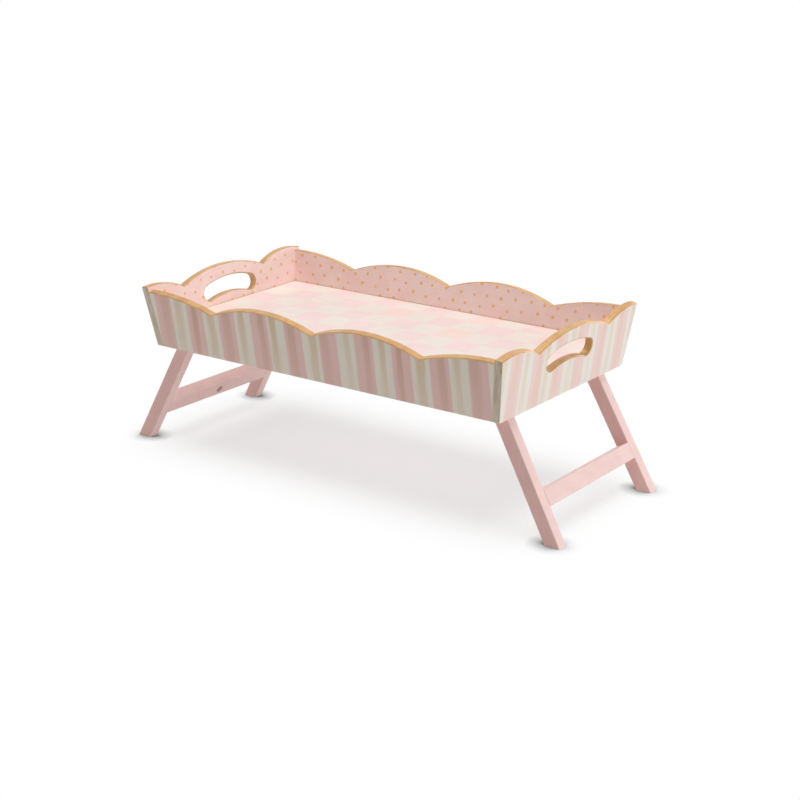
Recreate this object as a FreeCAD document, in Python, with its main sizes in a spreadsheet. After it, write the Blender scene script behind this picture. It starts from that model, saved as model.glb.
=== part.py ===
"""Bed tray table of painted wood: a scalloped tray on two leg frames that fold in under its deck.

+X runs along the tray, +Y to its back and +Z up. The origin is on the floor under the tray's middle.
Sizes are in millimetres and degrees.
"""
import FreeCAD, Part
import math
import os
import re
import Sketcher

SIZES = (
    # the tray's box, at the walls' bottom edge
    ("bottom_length", 610, "length over the end walls' outer faces"),
    ("bottom_width", 317, "width over the long walls' outer faces"),
    ("board", 12, "thickness of the wall boards"),
    ("end_flare", 8.1, "outward lean of the end walls"),
    ("side_flare", 9.1, "outward lean of the long walls"),
    ("edge_ease", 1.2, "chamfer along the boards' shaped edges"),
    # outline of the long walls, measured up the board
    ("side_crest", 87, "height of the two middle scallops"),
    ("side_offset", 91.5, "from the middle to their crests"),
    ("side_radius", 235, "radius of the middle scallops"),
    ("outer_crest", 85.3, "height of the two outer scallops"),
    ("outer_offset", 292, "from the middle to their crests"),
    ("outer_radius", 340, "radius of the outer scallops"),
    # outline of the end walls, measured up the board
    ("hump_crest", 95, "height of the middle hump"),
    ("hump_radius", 244, "radius of the middle hump"),
    ("hump_offset", 8, "from the wall's middle to the hump's, to the right as seen from outside"),
    ("shoulder_crest", 92.5, "height of the two outer scallops"),
    ("shoulder_offset", 149, "from the hump's middle to the outer scallops' crests"),
    ("shoulder_radius", 124, "radius of the outer scallops"),
    # hand holes, arched slots in the end walls
    ("grip_rise", 62.5, "height of the slot's middle, up the board"),
    ("grip_width", 24.5, "width of the slot"),
    ("grip_radius", 158, "radius of the slot's middle line"),
    ("grip_half_angle", 17, "from the middle to the centre of each rounded end"),
    # deck, held in a groove round the walls
    ("deck_rise", 36.5, "top of the deck above the walls' bottom edge"),
    ("deck_board", 9, "thickness of the deck"),
    ("tongue_board", 6, "thickness of the tongue round the deck"),
    ("groove_depth", 4, "how far the tongue reaches into the walls"),
    ("groove_play", 0.1, "gap above and behind the tongue, and round the deck's shoulder"),
    # leg frames
    ("leg_drop", 165, "from the walls' bottom edge to the floor"),
    ("leg_slant", 29, "lean of the open legs from upright"),
    ("leg_splay", 2.1, "spread of each leg within its frame"),
    ("leg_depth", 21, "thickness of the legs across the frame's plane"),
    ("leg_width", 17, "width of the legs in the frame's plane"),
    ("leg_ease", 0.9, "chamfer along the edges of the legs and stretchers"),
    ("leg_inset", 22, "from the long walls' inner faces to a leg's outer side at the pivot"),
    ("stretcher_reach", 145, "from the pivot to the stretcher's middle"),
    ("stretcher_height", 24, "height of the stretcher along the legs"),
    ("stop_gap", 0.3, "between the open leg and the end wall's lower inner edge"),
    # pivots
    ("pivot_radius", 3, "radius of the pivot screw's shoulder"),
    ("bore_play", 0.08, "radial play of the leg on the shoulder"),
    ("pivot_thread_radius", 2.4, "radius of the pivot screw's threaded end"),
    ("pivot_thread_length", 14, "how far it goes into the block"),
    ("pivot_head_radius", 6, "radius of the pivot screw's head"),
    ("pivot_head_height", 2.6, "height of the domed head"),
    ("washer_radius", 8, "radius of the spacer washer"),
    ("washer_board", 1.5, "thickness of the spacer washer"),
    ("side_play", 0.5, "play of a leg between its screw's head and the washer"),
    ("block_length", 40, "length of the pivot block along the tray"),
    ("block_lift", 2, "block's underside above the walls' bottom edge"),
    # magnetic catches of the folded frames
    ("catch_radius", 6, "radius of the magnet and of its strike disc"),
    ("magnet_board", 3, "thickness of the magnet"),
    ("magnet_proud", 0.9, "how far the magnet stands out of the deck"),
    ("catch_gap", 0.3, "between the magnet and the folded frame"),
    ("strike_board", 2, "thickness of the strike disc"),
    # dowels of the stretchers
    ("dowel_radius", 4, "radius of the dowels"),
    ("dowel_in_leg", 12, "length of a dowel inside the leg"),
    ("dowel_in_stretcher", 18, "length of a dowel inside the stretcher"),
    ("glue_line", 0.1, "gap behind a dowel or screw, and round a magnet or disc"),
)
NAMES = {name for name, value, meaning in SIZES}

X_AXIS = "vector(1; 0; 0)"
Y_AXIS = "vector(0; 1; 0)"
Z_AXIS = "vector(0; 0; 1)"

# The walls' inner faces at their bottom edge, and the deck's edges, from the tray's middle.
END_INNER = "(bottom_length / 2 - board / cos(end_flare))"
SIDE_INNER = "(bottom_width / 2 - board / cos(side_flare))"
DECK_BOTTOM = "(deck_rise - deck_board)"
DECK_HALF_LENGTH = f"({END_INNER} + tan(end_flare) * {DECK_BOTTOM} + groove_depth)"
DECK_HALF_WIDTH = f"({SIDE_INNER} + tan(side_flare) * {DECK_BOTTOM} + groove_depth)"

# The pivots: a folded frame lies under the magnets, an open one leans on the end wall's inner edge.
PIVOT_RISE = f"({DECK_BOTTOM} - magnet_proud - catch_gap - leg_depth / 2)"
PIVOT_HEIGHT = f"(leg_drop + {PIVOT_RISE})"
STOP_REACH = f"(leg_depth / 2 + stop_gap + {PIVOT_RISE} * sin(leg_slant))"
PIVOT_OFFSET = f"({END_INNER} - {STOP_REACH} / cos(leg_slant))"
LEG_OUTER = f"({SIDE_INNER} - leg_inset)"
BLOCK_FACE = f"({LEG_OUTER} + side_play + washer_board)"
LEG_INNER = f"({LEG_OUTER} - leg_width / cos(leg_splay))"
HEAD_SEAT = f"({LEG_INNER} - side_play)"
LEG_REACH = f"(({PIVOT_HEIGHT} + leg_depth / 2 * sin(leg_slant)) / cos(leg_slant))"
MAGNET_OFFSET = f"({PIVOT_OFFSET} - stretcher_reach)"

doc = FreeCAD.newDocument("bed_tray_table")
sheet = doc.addObject("Spreadsheet::Sheet", "Sizes")
for row, (name, value, meaning) in enumerate(SIZES, start=1):
    sheet.set(f"A{row}", meaning)
    sheet.set(f"B{row}", str(value))
    sheet.setAlias(f"B{row}", name)
doc.recompute()

nodes = []


def linked(formula):
    """The formula with each size's name pointed at its cell."""
    return re.sub(r"[a-z_]+", lambda word: f"Sizes.{word[0]}" if word[0] in NAMES else word[0], formula)


def number(formula):
    """The formula's value now."""
    result = sheet.evalExpression(linked(formula))
    return float(getattr(result, "Value", result))


def bind(thing, target, formula):
    thing.setExpression(target, linked(formula))


def as_node(thing, label):
    """The thing becomes a piece of the object, written out under this label."""
    thing.Label = label
    nodes.append(thing)
    return thing


# ---- sketches ----

def body_at(label, placement):
    body = as_node(doc.addObject("PartDesign::Body", label), label)
    bind(body, "Placement", placement)
    return body


def sketch_on(body, plane, name):
    sketch = body.newObject("Sketcher::SketchObject", name)
    base = next(item for item in body.Origin.OriginFeatures if item.Role == plane)
    sketch.AttachmentSupport = [(base, "")]
    sketch.MapMode = "FlatFace"
    return sketch


def point(position):
    return FreeCAD.Vector(number(position[0]), number(position[1]), 0)


def constrain(sketch, kind, *where, formula):
    index = sketch.addConstraint(Sketcher.Constraint(kind, *where, number(formula)))
    sketch.renameConstraint(index, f"{kind.lower()}_{index}")
    bind(sketch, f"Constraints.{kind.lower()}_{index}", formula)


def place(sketch, edge, end, position):
    """Fixes an edge's end, or an arc's centre, at a position from the sketch's origin."""
    for kind, axis, formula in (("DistanceX", -2, position[0]), ("DistanceY", -1, position[1])):
        if formula == "0":
            sketch.addConstraint(Sketcher.Constraint("PointOnObject", edge, end, axis))
        else:
            constrain(sketch, kind, -1, 1, edge, end, formula=formula)


def join(sketch, *ends):
    sketch.addConstraint(Sketcher.Constraint("Coincident", *ends))


def add_line(sketch, start, end):
    return sketch.addGeometry(Part.LineSegment(start, end), False)


def add_arc(sketch, centre, start, end):
    """An anticlockwise arc from start to end about centre."""
    circle = Part.Circle(centre, FreeCAD.Vector(0, 0, 1), (start - centre).Length)
    angles = [math.atan2(p.y - centre.y, p.x - centre.x) for p in (start, end)]
    return sketch.addGeometry(Part.ArcOfCircle(circle, *angles), False)


def draw_circle(sketch, centre, radius):
    circle = Part.Circle(point(centre), FreeCAD.Vector(0, 0, 1), number(radius))
    edge = sketch.addGeometry(circle, False)
    if centre == ("0", "0"):
        join(sketch, edge, 3, -1, 1)
    else:
        place(sketch, edge, 3, centre)
    constrain(sketch, "Radius", edge, formula=radius)


def draw_polygon(sketch, corners):
    spots = [point(corner) for corner in corners]
    count = len(spots)
    edges = [add_line(sketch, spots[i], spots[(i + 1) % count]) for i in range(count)]
    for i, edge in enumerate(edges):
        join(sketch, edge, 2, edges[(i + 1) % count], 1)
        place(sketch, edge, 1, corners[i])


def draw_rectangle(sketch, x_from, x_to, y_from, y_to):
    draw_polygon(sketch, [(x_from, y_from), (x_to, y_from), (x_to, y_to), (x_from, y_to)])


# ---- features ----

def pad(body, sketch, length, symmetric=False, backwards=False):
    feature = body.newObject("PartDesign::Pad", f"{sketch.Name}_pad")
    feature.Profile = sketch
    feature.SideType = "Symmetric" if symmetric else "One side"
    feature.Reversed = backwards
    bind(feature, "Length", length)
    doc.recompute()
    return feature


def removed(body, feature, before):
    """Recomputes a cut and makes sure that it took some wood away."""
    doc.recompute()
    if not body.Shape.Volume < before:
        raise ValueError(f"{body.Label}: {feature.Name} cuts nothing")
    return feature


def pocket(body, sketch, length, symmetric=False, backwards=False):
    before = body.Shape.Volume
    feature = body.newObject("PartDesign::Pocket", f"{sketch.Name}_cut")
    feature.Profile = sketch
    feature.SideType = "Symmetric" if symmetric else "One side"
    feature.Reversed = backwards
    bind(feature, "Length", length)
    return removed(body, feature, before)


def bore(body, radius, length, placement):
    """A round hole along the placement's Z axis, from its base."""
    before = body.Shape.Volume
    feature = body.newObject("PartDesign::SubtractiveCylinder", "bore")
    bind(feature, "Radius", radius)
    bind(feature, "Height", length)
    bind(feature, "Placement", placement)
    return removed(body, feature, before)


def eased(body, base, size, chosen):
    """Chamfers the edges of the body's last feature that the test picks."""
    edges = [f"Edge{i}" for i, edge in enumerate(base.Shape.Edges, start=1) if chosen(edge)]
    feature = body.newObject("PartDesign::Chamfer", "eased_edges")
    feature.Base = (base, edges)
    bind(feature, "Size", size)
    return removed(body, feature, base.Shape.Volume)


def cylinder(label, radius, height, placement):
    thing = doc.addObject("Part::Cylinder", label)
    bind(thing, "Radius", radius)
    bind(thing, "Height", height)
    bind(thing, "Placement", placement)
    return thing


def group(label, things):
    """Identical pieces that share one node as separate solids."""
    compound = as_node(doc.addObject("Part::Compound", label), label)
    compound.Links = things
    return compound


# ---- walls ----

def tilted(inward, rise, flare):
    """A level spot in a leaning wall's own section: its depth into the board and its height up it.

    Inward and rise are measured level and upright from the wall's outer bottom edge.
    """
    depth = f"(({inward}) * cos({flare}) + ({rise}) * sin({flare}))"
    height = f"(({rise}) * cos({flare}) - ({inward}) * sin({flare}))"
    return depth, height


def circles_meet(left, left_radius, right, right_radius):
    """The upper crossing of two circles."""
    between = right - left
    along = (left_radius ** 2 - right_radius ** 2 + between.Length ** 2) / (2 * between.Length)
    across = math.sqrt(left_radius ** 2 - along ** 2)
    direction = FreeCAD.Vector(between).normalize()
    return left + direction * along + FreeCAD.Vector(-direction.y, direction.x, 0) * across


def above(spot, centre, radius):
    """The upper crossing of the upright through a spot with a circle."""
    return FreeCAD.Vector(spot.x, centre.y + math.sqrt(radius ** 2 - (spot.x - centre.x) ** 2), 0)


def draw_scalloped_board(sketch, half_length, bottom, scallops):
    """A board with a straight foot, upright ends and a top of arcs that meet in cusps.

    The scallops are (distance from the middle, crest height, radius), from left to right.
    """
    corners = [(f"-{half_length}", bottom), (half_length, bottom)]
    foot = [point(corner) for corner in corners]
    centres = [(middle, f"({crest} - {radius})") for middle, crest, radius in scallops]
    spots = [point(centre) for centre in centres]
    radii = [number(radius) for middle, crest, radius in scallops]
    knots = [above(foot[0], spots[0], radii[0])]
    for i in range(len(spots) - 1):
        knots.append(circles_meet(spots[i], radii[i], spots[i + 1], radii[i + 1]))
    knots.append(above(foot[1], spots[-1], radii[-1]))

    base = add_line(sketch, foot[0], foot[1])
    left = add_line(sketch, foot[0], knots[0])
    right = add_line(sketch, foot[1], knots[-1])
    arcs = [add_arc(sketch, spots[i], knots[i + 1], knots[i]) for i in range(len(spots))]
    join(sketch, base, 1, left, 1)
    join(sketch, base, 2, right, 1)
    join(sketch, left, 2, arcs[0], 2)
    join(sketch, right, 2, arcs[-1], 1)
    for i in range(len(arcs) - 1):
        join(sketch, arcs[i], 1, arcs[i + 1], 2)
    place(sketch, base, 1, corners[0])
    place(sketch, base, 2, corners[1])
    for end in (left, right):
        sketch.addConstraint(Sketcher.Constraint("Vertical", end))
    for i, arc in enumerate(arcs):
        place(sketch, arc, 3, centres[i])
        constrain(sketch, "Radius", arc, formula=scallops[i][2])


def draw_arched_slot(sketch):
    """The hand hole: a slot of even width on an arc, with round ends."""
    centre = ("0", "(grip_rise - grip_radius)")
    outer_radius = "(grip_radius + grip_width / 2)"
    inner_radius = "(grip_radius - grip_width / 2)"
    end_offset = "(grip_radius * sin(grip_half_angle))"
    end_height = "(grip_rise - grip_radius * (1 - cos(grip_half_angle)))"
    middle = point(centre)
    angle = math.radians(number("grip_half_angle"))
    rays = [FreeCAD.Vector(side * math.sin(angle), math.cos(angle), 0) for side in (-1, 1)]
    high = [middle + ray * number(outer_radius) for ray in rays]
    low = [middle + ray * number(inner_radius) for ray in rays]
    ends = [point((f"-{end_offset}", end_height)), point((end_offset, end_height))]

    outer = add_arc(sketch, middle, high[1], high[0])
    inner = add_arc(sketch, middle, low[1], low[0])
    left = add_arc(sketch, ends[0], high[0], low[0])
    right = add_arc(sketch, ends[1], low[1], high[1])
    for edges in ((outer, 2, left, 1), (left, 2, inner, 2), (inner, 1, right, 1), (right, 2, outer, 1)):
        sketch.addConstraint(Sketcher.Constraint("Tangent", *edges))
    place(sketch, outer, 3, centre)
    place(sketch, inner, 3, centre)
    constrain(sketch, "Radius", outer, formula=outer_radius)
    constrain(sketch, "Radius", inner, formula=inner_radius)
    constrain(sketch, "DistanceX", -1, 1, left, 3, formula=f"-{end_offset}")
    constrain(sketch, "DistanceX", -1, 1, right, 3, formula=end_offset)


def is_shaped_edge(edge):
    """An arc of the board's outline, on its outer or its inner face."""
    curve = edge.Curve
    return isinstance(curve, Part.Circle) and abs(abs(curve.Axis.y) - 1) < 1e-6


def wall(
    label, yaw, outward, flare, half_length, meeting_flare, scallops, draw_holes, groove, groove_length
):
    """A leaning board: X along it, Y from its outer face inwards, Z up it from the outer bottom edge.

    Its half length is that at the bottom edge, and its ends follow the lean of the boards they meet.
    """
    base = f"rotation({Z_AXIS}; {yaw}) * vector(0; -{outward}; leg_drop)"
    body = body_at(label, f"placement({base}; rotation({Z_AXIS}; {yaw}) * rotation({X_AXIS}; {flare}))")

    outline = sketch_on(body, "XZ_Plane", "outline")
    waste = "2 * board"
    draw_scalloped_board(outline, f"({half_length} + {waste})", f"-(board * tan({flare}))", scallops)
    if draw_holes:
        draw_holes(outline)
    pad(body, outline, "board", backwards=True)

    # The ends are sawn to a compound angle, in a level sketch whose Y is upright.
    ends = sketch_on(body, "XZ_Plane", "ends")
    bind(ends, "AttachmentOffset.Rotation", f"rotation({X_AXIS}; -{flare})")
    top, foot = "(2 * side_crest)", "(-side_crest)"
    for side in (-1, 1):
        draw_polygon(ends, [
            (f"({side} * ({half_length} + tan({meeting_flare}) * {foot}))", foot),
            (f"({side} * ({half_length} + side_crest))", foot),
            (f"({side} * ({half_length} + side_crest))", top),
            (f"({side} * ({half_length} + tan({meeting_flare}) * {top}))", top),
        ])
    sawn = pocket(body, ends, "4 * side_crest", symmetric=True)
    eased(body, sawn, "edge_ease", is_shaped_edge)

    # The foot is bevelled level, and a level groove takes the deck.
    bevel = sketch_on(body, "YZ_Plane", "bevel")
    heel = f"-board * tan({flare})"
    draw_polygon(bevel, [("0", "0"), ("0", f"2 * {heel}"), ("2 * board", f"2 * {heel}")])
    pocket(body, bevel, "2 * bottom_length", symmetric=True)

    slot = sketch_on(body, "YZ_Plane", "groove")
    high = f"({DECK_BOTTOM} + tongue_board + groove_play)"
    open_side = f"board / cos({flare}) + groove_depth"
    level = [(groove, DECK_BOTTOM), (open_side, DECK_BOTTOM), (open_side, high), (groove, high)]
    draw_polygon(slot, [tilted(inward, rise, flare) for inward, rise in level])
    pocket(body, slot, groove_length, symmetric=True)
    return body


def long_wall(label, yaw):
    """A long wall between the end walls, with four scallops."""
    return wall(
        label, yaw, "bottom_width / 2", "side_flare",
        half_length=END_INNER,
        meeting_flare="end_flare",
        scallops=[
            ("-outer_offset", "outer_crest", "outer_radius"),
            ("-side_offset", "side_crest", "side_radius"),
            ("side_offset", "side_crest", "side_radius"),
            ("outer_offset", "outer_crest", "outer_radius"),
        ],
        draw_holes=None,
        groove=f"(bottom_width / 2 - {DECK_HALF_WIDTH} - groove_play)",
        groove_length="2 * bottom_length",
    )


def end_wall(label, yaw):
    """An end wall over the long walls' ends, with a hump between two shoulders and a hand hole."""
    return wall(
        label, yaw, "bottom_length / 2", "end_flare",
        half_length="(bottom_width / 2)",
        meeting_flare="side_flare",
        scallops=[
            ("(hump_offset - shoulder_offset)", "shoulder_crest", "shoulder_radius"),
            ("hump_offset", "hump_crest", "hump_radius"),
            ("(hump_offset + shoulder_offset)", "shoulder_crest", "shoulder_radius"),
        ],
        draw_holes=draw_arched_slot,
        groove=f"(bottom_length / 2 - {DECK_HALF_LENGTH} - groove_play)",
        groove_length=f"2 * ({DECK_HALF_WIDTH} + groove_play)",
    )


def make_walls():
    long_wall("front_wall", 0)
    long_wall("back_wall", 180)
    end_wall("left_end_wall", -90)
    end_wall("right_end_wall", 90)


# ---- deck ----

def make_deck():
    """The deck panel, with a tongue round its edge and a seat in its underside for each magnet."""
    body = body_at("deck_panel", f"placement(vector(0; 0; leg_drop + {DECK_BOTTOM}); rotation({Z_AXIS}; 0))")
    panel = sketch_on(body, "XY_Plane", "panel")
    draw_rectangle(
        panel, f"-{DECK_HALF_LENGTH}", DECK_HALF_LENGTH, f"-{DECK_HALF_WIDTH}", DECK_HALF_WIDTH
    )
    pad(body, panel, "deck_board")

    # Above the tongue, the shoulder stops short of the walls' inner faces.
    shoulder = sketch_on(body, "XY_Plane", "shoulder")
    bind(shoulder, "AttachmentOffset.Base.z", "tongue_board")
    rise = f"({DECK_BOTTOM} + tongue_board)"
    half_length = f"({END_INNER} + tan(end_flare) * {rise} - groove_play)"
    half_width = f"({SIDE_INNER} + tan(side_flare) * {rise} - groove_play)"
    for reach_x, reach_y in (
        (f"(2 * {DECK_HALF_LENGTH})", f"(2 * {DECK_HALF_WIDTH})"),
        (half_length, half_width),
    ):
        draw_rectangle(shoulder, f"-{reach_x}", reach_x, f"-{reach_y}", reach_y)
    pocket(body, shoulder, "deck_board", backwards=True)

    seats = sketch_on(body, "XY_Plane", "magnet_seats")
    for side in ("-", ""):
        draw_circle(seats, (f"{side}{MAGNET_OFFSET}", "0"), "(catch_radius + glue_line)")
    pocket(body, seats, "magnet_board - magnet_proud", backwards=True)

    for side, name in ((-1, "left"), (1, "right")):
        spot = f"vector({side} * {MAGNET_OFFSET}; 0; leg_drop + {DECK_BOTTOM} - magnet_proud)"
        placement = f"placement({spot}; rotation({Z_AXIS}; 0))"
        label = f"{name}_catch_magnet"
        as_node(cylinder(label, "catch_radius", "magnet_board", placement), label)


# ---- pivots ----

def pivot_placement(side, yaw):
    """The pivot's axis in the tray's middle plane, with Y towards the leg that it carries."""
    return f"placement(vector({side} * {PIVOT_OFFSET}; 0; {PIVOT_HEIGHT}); rotation({Z_AXIS}; {yaw}))"


def make_block(label, side, yaw):
    """A block glued under the deck and against the long wall's leaning face."""
    body = body_at(label, pivot_placement(side, yaw))
    section = sketch_on(body, "YZ_Plane", "section")
    corners = []
    for rise in ("block_lift", DECK_BOTTOM):
        wall_face = f"({SIDE_INNER} + tan(side_flare) * {rise})"
        corners.append([(BLOCK_FACE, f"({rise} - {PIVOT_RISE})"), (wall_face, f"({rise} - {PIVOT_RISE})")])
    draw_polygon(section, [corners[0][0], corners[0][1], corners[1][1], corners[1][0]])
    pad(body, section, "block_length", symmetric=True)
    across = f"placement(vector(0; {BLOCK_FACE}; 0); rotation({X_AXIS}; -90))"
    bore(body, "pivot_thread_radius", "pivot_thread_length + glue_line", across)
    return body


def revolve(body, sketch, axis):
    feature = body.newObject("PartDesign::Revolution", f"{sketch.Name}_turned")
    feature.Profile = sketch
    feature.ReferenceAxis = (sketch, [axis])
    feature.Angle = 360
    doc.recompute()
    return feature


def make_pivot_screw(side, yaw):
    """A shoulder screw: head inside the leg, shoulder through leg and washer, thread in the block."""
    body = doc.addObject("PartDesign::Body", "pivot_screw")
    bind(body, "Placement", pivot_placement(side, yaw))
    half = sketch_on(body, "XY_Plane", "half_section")
    top = f"({HEAD_SEAT} - pivot_head_height)"
    tip = f"({BLOCK_FACE} + pivot_thread_length)"
    draw_polygon(half, [
        ("0", top),
        ("(pivot_head_radius * 2 / 3)", top),
        ("pivot_head_radius", f"({HEAD_SEAT} - pivot_head_height / 2)"),
        ("pivot_head_radius", HEAD_SEAT),
        ("pivot_radius", HEAD_SEAT),
        ("pivot_radius", BLOCK_FACE),
        ("pivot_thread_radius", BLOCK_FACE),
        ("pivot_thread_radius", tip),
        ("0", tip),
    ])
    revolve(body, half, "V_Axis")
    return body


def make_washer(side, yaw):
    """A spacer between the leg and its block."""
    body = doc.addObject("PartDesign::Body", "pivot_washer")
    bind(body, "Placement", pivot_placement(side, yaw))
    ring = sketch_on(body, "XZ_Plane", "ring")
    ring.setExpression("AttachmentOffset.Base.z", linked(f"-({BLOCK_FACE} - washer_board)"))
    draw_circle(ring, ("0", "0"), "washer_radius")
    draw_circle(ring, ("0", "0"), "(pivot_radius + bore_play)")
    pad(body, ring, "washer_board", backwards=True)
    return body


def make_pivots():
    for side, name in ((-1, "left"), (1, "right")):
        screws = []
        washers = []
        for yaw, place_name in ((180, "front"), (0, "back")):
            make_block(f"{place_name}_{name}_pivot_block", side, yaw)
            screws.append(make_pivot_screw(side, yaw))
            washers.append(make_washer(side, yaw))
        group(f"{name}_pivot_screws", screws)
        group(f"{name}_pivot_washers", washers)


# ---- leg frames ----

def frame_placement(side, yaw):
    """A leg frame's own axes: Y along the pivots, Z up the legs, X out of the frame's outer face."""
    spot = f"vector({side} * {PIVOT_OFFSET}; 0; {PIVOT_HEIGHT})"
    turn = f"rotation({Z_AXIS}; {yaw}) * rotation({Y_AXIS}; -leg_slant)"
    return f"placement({spot}; {turn})"


def leg_face(offset, height):
    """Where a splayed face of a leg is at a height on the frame, from the frame's middle."""
    return f"({offset} - tan(leg_splay) * {height})"


def is_long_edge(edge):
    return isinstance(edge.Curve, Part.Line) and edge.Length > 3 * number("leg_depth")


def make_leg(label, side, yaw, row):
    """A splayed leg: round top about the pivot, foot cut level, long edges eased."""
    body = body_at(label, frame_placement(side, yaw))
    profile = sketch_on(body, "XZ_Plane", "profile")
    half = "(leg_depth / 2)"
    outer_foot = f"(-({PIVOT_HEIGHT} + {half} * sin(leg_slant)) / cos(leg_slant))"
    inner_foot = f"(-({PIVOT_HEIGHT} - {half} * sin(leg_slant)) / cos(leg_slant))"
    corners = [(f"-{half}", inner_foot), (half, outer_foot)]
    foot = [point(corner) for corner in corners]
    top = [FreeCAD.Vector(number(f"-{half}"), 0, 0), FreeCAD.Vector(number(half), 0, 0)]
    inner_side = add_line(profile, top[0], foot[0])
    sole = add_line(profile, foot[0], foot[1])
    outer_side = add_line(profile, foot[1], top[1])
    crown = add_arc(profile, FreeCAD.Vector(0, 0, 0), top[1], top[0])
    join(profile, inner_side, 2, sole, 1)
    join(profile, sole, 2, outer_side, 1)
    join(profile, outer_side, 2, crown, 1)
    join(profile, crown, 2, inner_side, 1)
    join(profile, crown, 3, -1, 1)
    place(profile, sole, 1, corners[0])
    place(profile, sole, 2, corners[1])
    constrain(profile, "Radius", crown, formula=half)
    for end in (1, 2):
        profile.addConstraint(Sketcher.Constraint("PointOnObject", crown, end, -1))
    draw_circle(profile, ("0", "0"), "(pivot_radius + bore_play)")
    far = f"({LEG_OUTER} + tan(leg_splay) * {LEG_REACH} + leg_width)"
    pad(body, profile, far, backwards=row > 0)

    # Both cheeks are sawn off, so that the leg runs outwards from its pivot to its foot.
    cheeks = sketch_on(body, "YZ_Plane", "cheeks")
    high = "leg_depth"
    low = f"(-{LEG_REACH} - leg_depth)"
    for offset, edge in ((LEG_OUTER, f"({far} + leg_width)"), (LEG_INNER, "(-leg_width)")):
        draw_polygon(cheeks, [
            (f"({row} * {leg_face(offset, high)})", high),
            (f"({row} * {edge})", high),
            (f"({row} * {edge})", low),
            (f"({row} * {leg_face(offset, low)})", low),
        ])
    sawn = pocket(body, cheeks, "3 * leg_depth", symmetric=True)
    eased(body, sawn, "leg_ease", is_long_edge)

    reach = f"({row} * {leg_face(LEG_INNER, '(-stretcher_reach)')})"
    turn = f"rotation({X_AXIS}; {-90 * row})"
    start = f"vector(0; {reach} - {row} * leg_width / 2; -stretcher_reach)"
    depth = "leg_width / 2 + dowel_in_leg + glue_line"
    bore(body, "dowel_radius", depth, f"placement({start}; {turn})")
    return body


def make_stretcher(label, side, yaw):
    """The rail between a frame's legs, its ends cut to their splay."""
    body = body_at(label, frame_placement(side, yaw))
    face = sketch_on(body, "YZ_Plane", "face")
    high = "(-stretcher_reach + stretcher_height / 2)"
    low = "(-stretcher_reach - stretcher_height / 2)"
    upper = leg_face(LEG_INNER, high)
    lower = leg_face(LEG_INNER, low)
    draw_polygon(face, [(f"-{lower}", low), (lower, low), (upper, high), (f"-{upper}", high)])
    rail = pad(body, face, "leg_depth", symmetric=True)
    eased(body, rail, "leg_ease", is_long_edge)

    seat = f"placement(vector(-leg_depth / 2; 0; -stretcher_reach); rotation({Y_AXIS}; 90))"
    bore(body, "(catch_radius + glue_line)", "strike_board", seat)
    for row in (-1, 1):
        end = leg_face(LEG_INNER, "(-stretcher_reach)")
        start = f"vector(0; {row} * ({end} + leg_width); -stretcher_reach)"
        turn = f"rotation({X_AXIS}; {90 * row})"
        depth = "leg_width + dowel_in_stretcher + glue_line"
        bore(body, "dowel_radius", depth, f"placement({start}; {turn})")
    return body


def make_frames():
    for side, name, yaw in ((-1, "left", 180), (1, "right", 0)):
        placement = frame_placement(side, yaw)
        for row, place_name in ((-1, "front"), (1, "back")):
            make_leg(f"{place_name}_{name}_leg", side, yaw, row * side)
        make_stretcher(f"{name}_stretcher", side, yaw)

        seat = f"placement(vector(-leg_depth / 2; 0; -stretcher_reach); rotation({Y_AXIS}; 90))"
        label = f"{name}_strike_disc"
        as_node(cylinder(label, "catch_radius", "strike_board", f"{placement} * {seat}"), label)

        dowels = []
        for row in (-1, 1):
            end = f"({leg_face(LEG_INNER, '(-stretcher_reach)')} + dowel_in_leg)"
            spot = f"vector(0; {row} * {end}; -stretcher_reach)"
            turned = f"placement({spot}; rotation({X_AXIS}; {90 * row}))"
            length = "dowel_in_leg + dowel_in_stretcher"
            dowels.append(cylinder("dowel", "dowel_radius", length, f"{placement} * {turned}"))
        group(f"{name}_stretcher_dowels", dowels)


make_walls()
make_deck()
make_pivots()
make_frames()
doc.recompute()

for item in doc.Objects:
    if "Invalid" in item.State or "Error" in item.State:
        raise ValueError(f"{item.Label} did not recompute: {item.State}")
for sketch in doc.findObjects("Sketcher::SketchObject"):
    if not sketch.FullyConstrained:
        raise ValueError(f"{sketch.Label} is not fully constrained")
for node in nodes:
    if node.Shape.isNull() or not node.Shape.isValid():
        raise ValueError(f"{node.Label} has no valid shape")

os.makedirs("parts", exist_ok=True)
for node in nodes:
    node.Shape.exportStep(os.path.join("parts", f"{node.Label}.step"))
    print(node.Label, len(node.Shape.Solids), round(node.Shape.Volume, 1))
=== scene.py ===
"""The looks of the bed tray table: paint, screws, floor, light and camera.

Patterns are worked out in millimetres and degrees in the tray's own frame. Everything built is in metres.
"""
import math

import bmesh
import bpy
from mathutils import Matrix, Vector


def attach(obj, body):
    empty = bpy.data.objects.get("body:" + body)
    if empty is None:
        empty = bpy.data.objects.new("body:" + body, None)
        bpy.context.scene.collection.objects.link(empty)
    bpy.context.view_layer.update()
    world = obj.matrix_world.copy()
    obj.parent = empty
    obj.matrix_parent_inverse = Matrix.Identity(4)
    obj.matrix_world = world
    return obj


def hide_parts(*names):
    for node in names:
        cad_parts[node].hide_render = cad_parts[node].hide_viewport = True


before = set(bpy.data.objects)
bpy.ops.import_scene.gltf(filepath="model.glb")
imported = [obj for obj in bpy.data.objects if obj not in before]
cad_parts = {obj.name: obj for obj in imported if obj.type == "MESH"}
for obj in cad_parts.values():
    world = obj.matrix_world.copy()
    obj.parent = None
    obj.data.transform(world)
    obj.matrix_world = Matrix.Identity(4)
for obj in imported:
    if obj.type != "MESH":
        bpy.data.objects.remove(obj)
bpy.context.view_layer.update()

MM = 0.001


def sine(angle):
    return math.sin(math.radians(angle))


def cosine(angle):
    return math.cos(math.radians(angle))


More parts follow.
